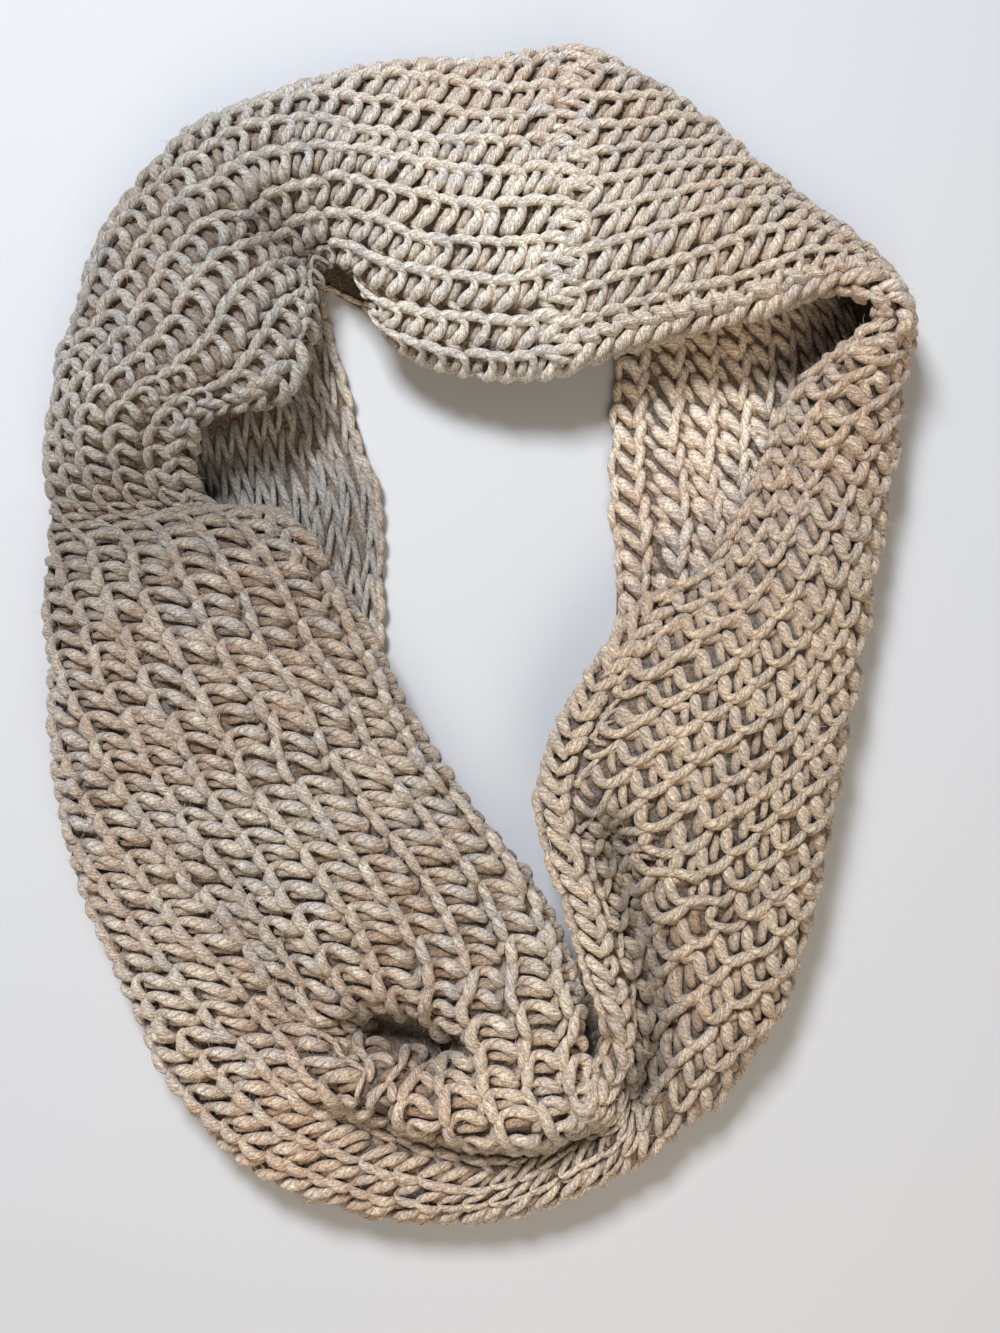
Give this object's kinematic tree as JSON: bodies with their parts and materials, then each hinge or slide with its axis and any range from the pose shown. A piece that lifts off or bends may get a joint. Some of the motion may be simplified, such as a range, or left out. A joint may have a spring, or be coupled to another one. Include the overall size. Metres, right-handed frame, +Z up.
{
  "type": "infinity scarf",
  "caption": "Chunky rib-knit loop scarf in heather beige yarn, sunk down and folded outwards as it lies on a surface, to wear round the neck.",
  "frame": {"origin": "on the surface that the scarf lies on, under the middle of its box", "axes": "+Z up from the surface, +Y from the bottom turn towards the seam, +X towards the folded corner"},
  "size_m": [0.3888, 0.5198, 0.0579],
  "materials": {
    "knit": "fuzzy heather wool-blend yarn in a chunky rib knit"
  },
  "bodies": {
    "root": {"seam_stretch": "knit", "upper_left_stretch": "knit", "left_fold_stretch": "knit", "lower_left_stretch": "knit", "bottom_turn_stretch": "knit", "right_stretch": "knit", "corner_stretch": "knit"}
  },
  "joints": []
}
